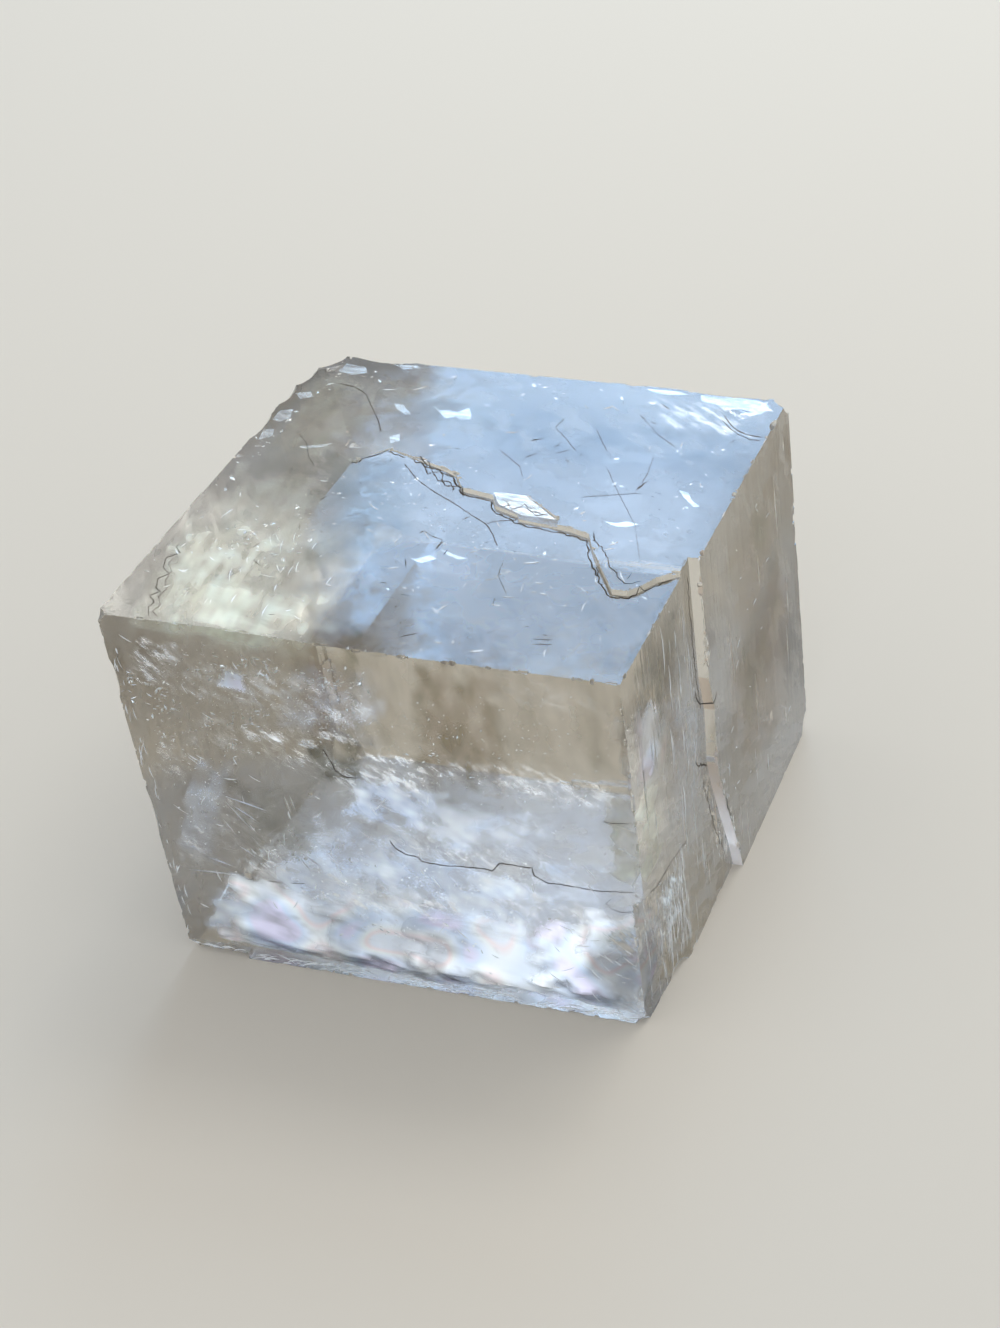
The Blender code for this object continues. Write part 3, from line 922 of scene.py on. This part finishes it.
# air films in fresh fractures: they mirror the room and show thin film colours
pearl = {
    "seed": 60,
    "ripple": 0.05,
    "patchSize": (5.5, 2.6, 4.0),
    "turn": 25.0,
    "bare": 0.05,
    "full": 0.42,
    "hueSize": 6.0,
    "colours": ("#efe8fa", "#e6effd", "#f2f7fe", "#fbfcfa", "#fbecea", "#f4f6fa"),
    "roughness": 0.33,
    "level": (
        # foot of the front
        (1, (40.5, 5.1, 43.2), (34, 12), (4, 16)),
        (0.85, (47.5, 4, 44), (20, 8), (5, 16)),
        (1, (32, 5.6, 42.9), (30, 13), (3, 16)),
        (1, (18.5, 4.8, 43.3), (34, 11), (2, 16)),
        (1, (10.5, 5.5, 42.4), (17, 13), (2, 16)),
        (1, (8.5, 6.5, 38.6), (8, 9), (2, 16)),
        # its rim
        (1, (42, 2, 45), (34, 3.6), (3, 16)),
        (1, (19, 2, 44.8), (34, 3.6), (2, 16)),
        (0.6, (31, 2, 45), (26, 3.6), (3, 16)),
        # high corner
        (0.3, (46.3, 2, 7.6), (4, 4), (5, 16)),
        # right side
        (0.25, (3.4, 8.8, 11.5), (4, 6), (20, 6)),
        (0.5, (3, 8.1, 15.5), (4, 6), (21, 6)),
        # under the top
        (0.07, (27, 18, 1.2), (8, 6), (2, 3)),
    ),
    "upright": (
        # right side
        (0.45, (1.5, 4, 5), (1.5, 14.5, 13), (1.9, 11, 23), (1.9, 1.5, 15.5)),
    ),
}
filmPiece("pearlyFractures", "fracture_air_film", pearl)

# honey to olive films in the deeper cracks: painted light and shade, a soft warm tint and a dimming laid over
# what is seen through the crystal
warmLightAndShade = {
    "seed": 90,
    "ripple": 0.1,
    "patchSize": (4.0, 9.0, 10.0),
    "turn": 10.0,
    "bare": 0.2,
    "full": 0.8,
    # painted light and shade: the warm tint and the dimness of what lies behind the crystal
    "colours": ("#bd8740", "#b5924f", "#9c925a"),
    "roughness": 0.6,
    "upright": (
        # behind the front
        (1, (29, 12, 6.5), (18, 12, 5.5), (19, 12, 25), (32.5, 12, 27)),
        (0.7, (41, 6, 2.5), (32, 6, 2), (32.5, 6, 20), (41.5, 6, 21)),
        (0.5, (26, 18, 3), (2, 18, 3), (2, 18, 24), (26, 18, 25)),
        (0.4, (46, 14, 3), (24, 14, 3), (24, 14, 22), (46, 14, 24)),
        (0.3, (42, 9, 6), (29, 9, 5), (29, 9, 18), (42, 9, 19)),
        # right side
        (0.65, (2.5, 32, 4), (2.5, 54, 2), (2.5, 54, 30), (2.5, 33, 34)),
        (0.75, (3, 28, 20), (3, 53, 18), (3, 53, 42), (3, 29, 42)),
        (0.5, (1.8, 2, 3), (1.8, 19, 3), (2.4, 19, 30), (2.4, 2, 22)),
    ),
    "level": (
        # under the top
        (0.5, (50, 39, 4), (22, 28), (-6, 8)),
    ),
}
filmPiece("paintedHoneyLightAndShade", "painted_warm_light_and_shade", warmLightAndShade)

# painted shade: olive grey patches with soft rims, laid where the crystal looks dark
paintedShade = {
    "seed": 70,
    "ripple": 0.1,
    "patchSize": (5.0, 5.0, 5.0),
    "turn": 30.0,
    "bare": 0.2,
    "full": 0.65,
    # painted shade: dull olive greys that dim what is seen through them
    "colours": ("#68705a", "#8a8a70", "#716a58"),
    "roughness": 0.6,
    "level": (
        # under the top
        (0.5, (38.5, 21, 0.8), (12, 17), (0, 0)),
        (0.5, (43, 30, 0.9), (13, 12), (0, 0)),
        (0.3, (40, 46, 1.2), (16, 7), (0, 0)),
        (0.3, (55, 33, 1.2), (7, 9), (0, 0)),
    ),
    "upright": (
        # behind the front
        (0.9, (40.4, 4, 15.6), (33, 4, 14.4), (33.5, 4, 21.5), (40.4, 4, 22.2)),
        (0.5, (54, 7, 24), (41, 7, 22), (44, 7, 36), (54, 7, 38)),
        (0.3, (28, 9, 18), (19, 9, 17.5), (19, 9, 26), (29, 9, 27)),
        # right side
        (0.5, (2.4, 34, 22), (2.4, 53, 12), (2.8, 53, 22), (2.8, 34, 33)),
        (0.65, (1.9, 3, 2), (1.9, 20, 2), (2.4, 20, 14), (2.4, 2, 12)),
    ),
}
filmPiece("paintedShadePatches", "painted_shade_film", paintedShade)

# thin partings along the cleavage: each is an air film that mirrors the window
partings = {
    "seed": 21,
    "under": 0.06,  # millimetres below the surface
    "outlines": (
        ((26.4, 29.9), (22.5, 29.9), (19.7, 28), (17.3, 26.4), (21.6, 26.4), (24.9, 27.8)),
        ((41, 46.1), (39.9, 45.2), (38.7, 45.6), (37.6, 45.2), (36.5, 46.4), (35.6, 45), (35.3, 44.1),
         (36.4, 43.6), (37.3, 44.3), (38.4, 43.7), (39.2, 44.3)),
        ((46.1, 45.8), (44.7, 45.6), (44.1, 44.9), (42.9, 43.9), (43.6, 43.6), (44.4, 44.1), (45.2, 44.6)),
        ((43.4, 38.6), (42.4, 39.5), (42.1, 38.7), (41.8, 38), (42.7, 37.4)),
        ((11.5, 26.6), (10.2, 26.5), (9, 27.1), (7.6, 26.8), (8.4, 26.2), (9.7, 25.9), (10.6, 26.1)),
        ((5.3, 34.1), (4, 33.8), (3.4, 32.6), (1.9, 31.4), (2.6, 31.2), (3.6, 32.2), (4.3, 32.9)),
        ((30.8, 16.6), (29.8, 17), (29.1, 17.7), (28, 17.2), (28.6, 16.7), (29.4, 16.1)),
        ((28.2, 19), (26.6, 18.4), (24.5, 17.9), (25.6, 17.6), (27, 18)),
        ((9.5, 54.2), (6, 54.5), (2.4, 54.3), (0.4, 53.4), (0.9, 51.4), (2.6, 51), (3.9, 51.9), (5.6, 51.6),
         (7.1, 52.6), (8.9, 52.9)),
        ((16.5, 54.4), (13, 54.5), (11, 54.1), (13.5, 53.6), (15.4, 53.8)),
        ((58.6, 52.6), (56, 53.4), (53.2, 53), (52.4, 51.8), (54.3, 51), (56.2, 51.6), (57.6, 51.2)),
        ((50, 54.3), (47, 54.5), (46.2, 54), (48.3, 53.4)),
        ((59.2, 45.8), (57.5, 46.4), (56.6, 45.4), (58, 44.6)),
        ((59.3, 41.6), (57.8, 42.3), (57.2, 40.4), (58.2, 39.2), (59.2, 39.6)),
        ((59.2, 37.4), (58, 37.8), (57.5, 36.2), (58.8, 35)),
        ((53.2, 34.8), (51.4, 35.3), (49.6, 36.1), (50.2, 35.2), (52, 34.4)),
    ),
    # strings of flakes on the right face: (back, down) start, end, spread, count, size
    "strips": (
        ((20.8, 28.6), (23.4, 38.6), 0.7, 90, 0.7),
        ((23.4, 38.6), (25.8, 43.6), 0.6, 50, 0.7),
        ((21.6, 8), (22, 14), 0.3, 14, 0.5),
    ),
    # flakes scattered over the top: (left, back) middle, spread, count, size
    "scatter": (
        ((30, 27), (26, 24), 60, 0.28),
        ((51.5, 16), (4, 6), 24, 0.3),
        ((45, 18), (4, 6), 14, 0.3),
        ((30, 52.5), (26, 1.5), 26, 0.34),
        ((58, 34), (1.5, 16), 26, 0.36),
        ((3, 40), (1, 14), 20, 0.26),
        ((3.5, 52), (4, 2.2), 30, 0.5),
        ((36, 30), (5, 4), 24, 0.3),
        ((5.5, 15.5), (3, 2), 16, 0.3),
        ((54, 50), (5, 3), 14, 0.4),
    ),
    "fromRims": (0.4, 0.5),  # how far in from the near and the far rims they stay
    "gather": 0.6,  # how much of the spread most of them keep to
    # how deep each lies, how far it's tilted and turned in degrees, then shares of its size
    "stripFlake": {
        "under": (0.05, 0.3), "tilt": 25, "turn": 40,
        "sizes": (0.4, 1.6), "widths": (0.3, 0.6), "thickness": 0.1,
    },
    "topFlake": {
        "under": (0.08, 0.6), "tilt": 7, "turn": 60,
        "sizes": (0.4, 1.7), "widths": (0.2, 0.6), "thickness": 0.05,
    },
    # an air film, as bright as silver with a faint cold tint, in streaks that follow the crystal
    "colours": ("#f0f0ea", "#fff6e8"),
    "streaks": (0.4, 2.2, 1.0),  # per millimetre along left, back and down
    "shown": (0.3, 0.65),  # the noise level where they start and where they are full
    "covers": (0.12, 0.5),
    "roughness": 0.22,
}


def partingFilm():
    material, tree = newMaterial("parting_air_film")
    place = addNode(tree, "Attribute", {"attribute_name": "crystal"})
    stretched = addNode(tree, "Mapping", values={"Scale": partings["streaks"]},
        links={"Vector": (place, "Vector")})
    lines = addNode(tree, "TexNoise", values={"Scale": 1.0, "Detail": 3.0}, links={"Vector": stretched})
    tone = addNode(tree, "Mix", {"data_type": "RGBA"},
        values={6: linear(partings["colours"][0]), 7: linear(partings["colours"][1])}, links={0: lines})
    (bare, full), (faintest, densest) = partings["shown"], partings["covers"]
    cover = addNode(tree, "MapRange",
        values={"From Min": bare, "From Max": full, "To Min": faintest, "To Max": densest},
        links={"Value": lines})
    shader = addNode(tree, "BsdfPrincipled", values={"Metallic": 1.0, "Roughness": partings["roughness"]},
        links={"Base Color": (tone, 2), "Alpha": cover})
    addNode(tree, "OutputMaterial", links={"Surface": shader})
    return material


def flake(bm, face, first, second, size, kind, chance):
    # one loose flake close under a face
    spot = onFace(face, first, second, chance.uniform(*kind["under"]))
    thin = jittered(normals[face], chance, kind["tilt"]).normalized()
    long = thin.cross(jittered(normals["front"], chance, kind["turn"])).normalized()
    reach = size * chance.uniform(*kind["sizes"]) * mm
    across = long.cross(thin) * reach * chance.uniform(*kind["widths"])
    shard(bm, spot, (long * reach, across, thin * reach * kind["thickness"]))


def partingPiece():
    chance = random.Random(partings["seed"])
    bm = bmesh.new()
    for outline in partings["outlines"]:
        bm.faces.new([bm.verts.new(onFace("top", *spot, under=partings["under"])) for spot in outline])
    bmesh.ops.triangulate(bm, faces=bm.faces)
    for start, end, spread, count, size in partings["strips"]:
        for _ in range(count):
            share = chance.random()
            first, second = (a + (b - a) * share + chance.gauss(0.0, spread) for a, b in zip(start, end))
            flake(bm, "right", first, second, size, partings["stripFlake"], chance)
    near, far = partings["fromRims"]
    for middle, spread, count, size in partings["scatter"]:
        for _ in range(count):
            first, second = (chance.gauss(m, s * partings["gather"]) for m, s in zip(middle, spread))
            first = min(max(first, near), block["width"] - far)
            second = min(max(second, near), block["depth"] - far)
            flake(bm, "top", first, second, size, partings["topFlake"], chance)
    newPiece("topPartings", bm, partingFilm())


partingPiece()
print("partings")

# needles and flecks of crushed crystal
needles = {
    "seed": 8,
    "width": 0.2,
    "thin": 0.04,
    "lines": (
        ((51.8, 3, 25.4), (49.2, 3, 29)),
        ((51, 3, 25.8), (48.2, 3, 27.7)),
        ((51.6, 3, 24.7), (46.7, 3, 25.9)),
        ((59.2, 3, 36.5), (52.6, 3, 36.1)),
        ((56, 3, 34.1), (53, 3, 34.9)),
        ((44, 3, 23.4), (43.7, 3, 25.7)),
        ((43.3, 3, 23.1), (43, 3, 25.5)),
        ((52.7, 3, 28), (51.5, 3, 30.1)),
        ((51.4, 3, 31.7), (49.6, 3, 33)),
        ((43.9, 3, 32.1), (42.8, 3, 33.9)),
        ((43.3, 3, 31.4), (41.4, 3, 33)),
    ),
    # (left, back, down) middle, (left, back, down) spread, count, size
    "clouds": (
        ((47.1, 2.5, 7), (2, 1, 1.5), 26, 0.3),
        ((43.1, 2.5, 5.9), (1.6, 1, 1.2), 20, 0.36),
        ((46.5, 2.5, 13.2), (3, 1, 1.2), 26, 0.28),
        ((35.8, 2.5, 6.3), (2.4, 1, 0.8), 26, 0.3),
        ((14, 2.5, 9), (9, 1, 4), 60, 0.16),
        ((20, 2.5, 17), (12, 1, 2), 70, 0.2),
        ((24, 2.5, 13), (3, 1, 3), 30, 0.2),
        ((32.5, 2.5, 7), (1.6, 1, 1.6), 20, 0.26),
        ((35.8, 2.5, 11.5), (2, 1, 1), 18, 0.26),
        ((51.2, 2.5, 6.1), (2, 1, 2), 16, 0.24),
        ((56.3, 2.5, 12.1), (1.4, 1, 2.2), 34, 0.3),
        ((56.8, 2.5, 17.3), (0.9, 1, 0.9), 22, 0.24),
        ((59, 1.5, 9.8), (0.3, 0.5, 2), 14, 0.3),
        ((49, 2.5, 17), (4, 1, 2), 24, 0.22),
        ((44, 4, 30.8), (2, 1, 2.4), 30, 0.26),
        ((40.8, 4, 33), (3, 1, 3), 36, 0.22),
        ((37, 4, 41.5), (5, 1, 1.6), 60, 0.24),
        ((28.8, 4, 41.7), (4, 1, 2), 40, 0.22),
        ((44, 2.5, 9), (9, 1, 4), 220, 0.15),
        ((34, 2.5, 12), (5, 1, 5), 120, 0.14),
        ((54, 2.5, 20), (3.5, 1, 10), 120, 0.15),
        ((20, 3, 12), (14, 1.5, 7), 110, 0.13),
        ((24, 3, 32), (16, 1.5, 8), 160, 0.17),
        ((30, 20, 2), (18, 14, 0.5), 120, 0.18),
        ((50, 16, 3), (5, 6, 1), 60, 0.28),
        ((2, 16, 26), (0.5, 8, 12), 60, 0.18),
    ),
    "gather": 0.6,  # how much of the spread most of them keep to
    "lie": (0.08, -0.26, 0.96),  # nearly flat, tilted a little to the front, so that they catch the window
    "tilt": 16.0,  # degrees
    "turn": 25.0,
    "sizes": (0.4, 1.6),
    "widths": (0.15, 0.5),
    "thickness": 0.12,
    # splinters of crushed calcite: they glint bright white, with a waxy lustre
    "patchSize": 1.25,
    "patchDetail": 1.0,
    "colours": ("#fbfaf4", "#e6ecf2"),
    "roughness": 0.28,
    "metallic": 1.0,
}


def splinterPiece():
    chance = random.Random(needles["seed"])
    bm = bmesh.new()
    for start, end in needles["lines"]:
        start, end = (inCrystal @ within(Vector(spot)) for spot in (start, end))
        along = (end - start) / 2
        across = along.cross(normals["front"]).normalized() * needles["width"] / 2 * mm
        shard(bm, (start + end) / 2, (along, across, normals["front"] * needles["thin"] * mm))
    for middle, spread, count, size in needles["clouds"]:
        for _ in range(count):
            spot = Vector(chance.gauss(m, s * needles["gather"]) for m, s in zip(middle, spread))
            reach = size * chance.uniform(*needles["sizes"]) * mm
            thin = jittered(Vector(needles["lie"]), chance, needles["tilt"]).normalized()
            long = thin.cross(jittered(chance.choice(units), chance, needles["turn"])).normalized()
            across = long.cross(thin) * reach * chance.uniform(*needles["widths"])
            shard(bm, inCrystal @ within(spot), (long * reach, across, thin * reach * needles["thickness"]))
    bmesh.ops.recalc_face_normals(bm, faces=bm.faces)
    newPiece("splinters", bm, mottled("crushed_splinters", needles))


splinterPiece()
print("splinters")


# floor, a hair below the crystal's foot
studio = {
    "floorColour": "#dccfba",
    "floorGap": 0.05,  # millimetres of air under the crystal
    "floorSize": 24000.0,
    "floorRoughness": 0.85,
}


def plainFloor():
    bm = bmesh.new()
    bmesh.ops.create_grid(bm, x_segments=1, y_segments=1, size=studio["floorSize"] * mm / 2)
    mesh = toMesh("floor", bm)
    floor = putInScene("floor", mesh)
    floor.location.z = -studio["floorGap"] * mm
    material, tree = newMaterial("matt_floor")
    shader = addNode(tree, "BsdfPrincipled",
        values={"Base Color": linear(studio["floorColour"]), "Roughness": studio["floorRoughness"]})
    addNode(tree, "OutputMaterial", links={"Surface": shader})
    mesh.materials.append(material)


plainFloor()

# soft boxes: spans of azimuth and elevation in degrees as the crystal sees them (azimuth 0 is behind it),
# radiance and colour
softBoxes = {
    "window": ((-16.8, 8.0), (27.0, 46.5), 5.5, "#98c6f6"),
    "window low": ((-16.8, 8.0), (27.0, 38.0), 1.3, "#c4dcf6"),
    "window edge": ((-20.0, -16.8), (36.0, 46.0), 2.4, "#98c6f6"),
    "lamp": ((-20.0, 12.0), (49.0, 60.0), 7.6, "#e6eefb"),
    "sky": ((6.0, 44.0), (33.0, 62.0), 3.0, "#eef4fa"),
    "ceiling": ((150.0, 206.0), (44.0, 57.0), 1.8, "#a8c8ff"),
}
softBoxDistance = 800.0  # millimetres
softBoxAim = (0.0, 0.0, 22.0)  # about the crystal's middle


def towards(azimuth, elevation):
    azimuth, elevation = math.radians(azimuth), math.radians(elevation)
    level = math.cos(elevation)
    return Vector((math.sin(azimuth) * level, math.cos(azimuth) * level, math.sin(elevation)))


def softBox(name, azimuths, elevations, radiance, colour):
    away = towards(sum(azimuths) / 2, sum(elevations) / 2)
    halfAcross, halfUp = (math.radians(b - a) / 2 for a, b in (azimuths, elevations))
    light = bpy.data.lights.new(name, "AREA")
    light.shape = "RECTANGLE"
    light.size = 2 * softBoxDistance * mm * math.tan(halfAcross) * away.xy.length
    light.size_y = 2 * softBoxDistance * mm * math.tan(halfUp)
    # an area light gives off its power over half a sphere: radiance times pi times its area
    light.energy = radiance * math.pi * light.size * light.size_y
    light.color = linear(colour)[:3]
    lamp = putInScene(name, light)
    lamp.location = Vector(softBoxAim) * mm + away * softBoxDistance * mm
    lamp.rotation_euler = away.to_track_quat("Z", "Y").to_euler()
    lamp.visible_camera = False


for name, spec in softBoxes.items():
    softBox(name, *spec)
print("light")

# the room: an even pale light, dimmer high up on the side that the camera stands on
room = {
    "bright": "#e4ecf8",
    "dim": "#bcc2cb",
    "strength": 0.92,
    "dimmestAt": (150.0, 62.0),  # azimuth and elevation, degrees
    "dimWithin": (0.62, 0.97),  # cosine of the angle from there, where it starts and where it is full
}


def roomLight():
    world = bpy.data.worlds.new("room")
    world.use_nodes = True
    tree = world.node_tree
    tree.nodes.clear()
    seen = addNode(tree, "TexCoord")
    facing = addNode(tree, "VectorMath", {"operation": "DOT_PRODUCT"},
        values={1: towards(*room["dimmestAt"])}, links={0: (seen, "Generated")})
    starts, full = room["dimWithin"]
    share = addNode(tree, "MapRange", {"interpolation_type": "SMOOTHSTEP"},
        values={"From Min": starts, "From Max": full}, links={"Value": (facing, "Value")})
    colour = addNode(tree, "Mix", {"data_type": "RGBA"},
        values={6: linear(room["bright"]), 7: linear(room["dim"])}, links={0: share})
    light = addNode(tree, "Background", values={"Strength": room["strength"]}, links={"Color": (colour, 2)})
    addNode(tree, "OutputWorld", links={"Surface": light})
    bpy.context.scene.world = world


roomLight()

# camera
view = {
    "fromCorner": (19.257, -143.802, 143.640),  # millimetres from the top front right corner
    "turn": (45.867, 0.712, 12.039),  # degrees
    "lens": 51.156,
}
cameraData = bpy.data.cameras.new("camera")
cameraData.lens = view["lens"]
cameraData.clip_start = 0.01
camera = putInScene("camera", cameraData)
camera.location = inCrystal @ Vector() + Vector(view["fromCorner"]) * mm
camera.rotation_euler = Euler([math.radians(a) for a in view["turn"]])
bpy.context.scene.camera = camera

settings = bpy.context.scene.cycles
settings.use_light_tree = False  # with so few lamps it only costs time
settings.max_bounces = 12
settings.transmission_bounces = 11
settings.glossy_bounces = 6
settings.transparent_max_bounces = 16
bpy.context.scene.view_settings.view_transform = "Standard"
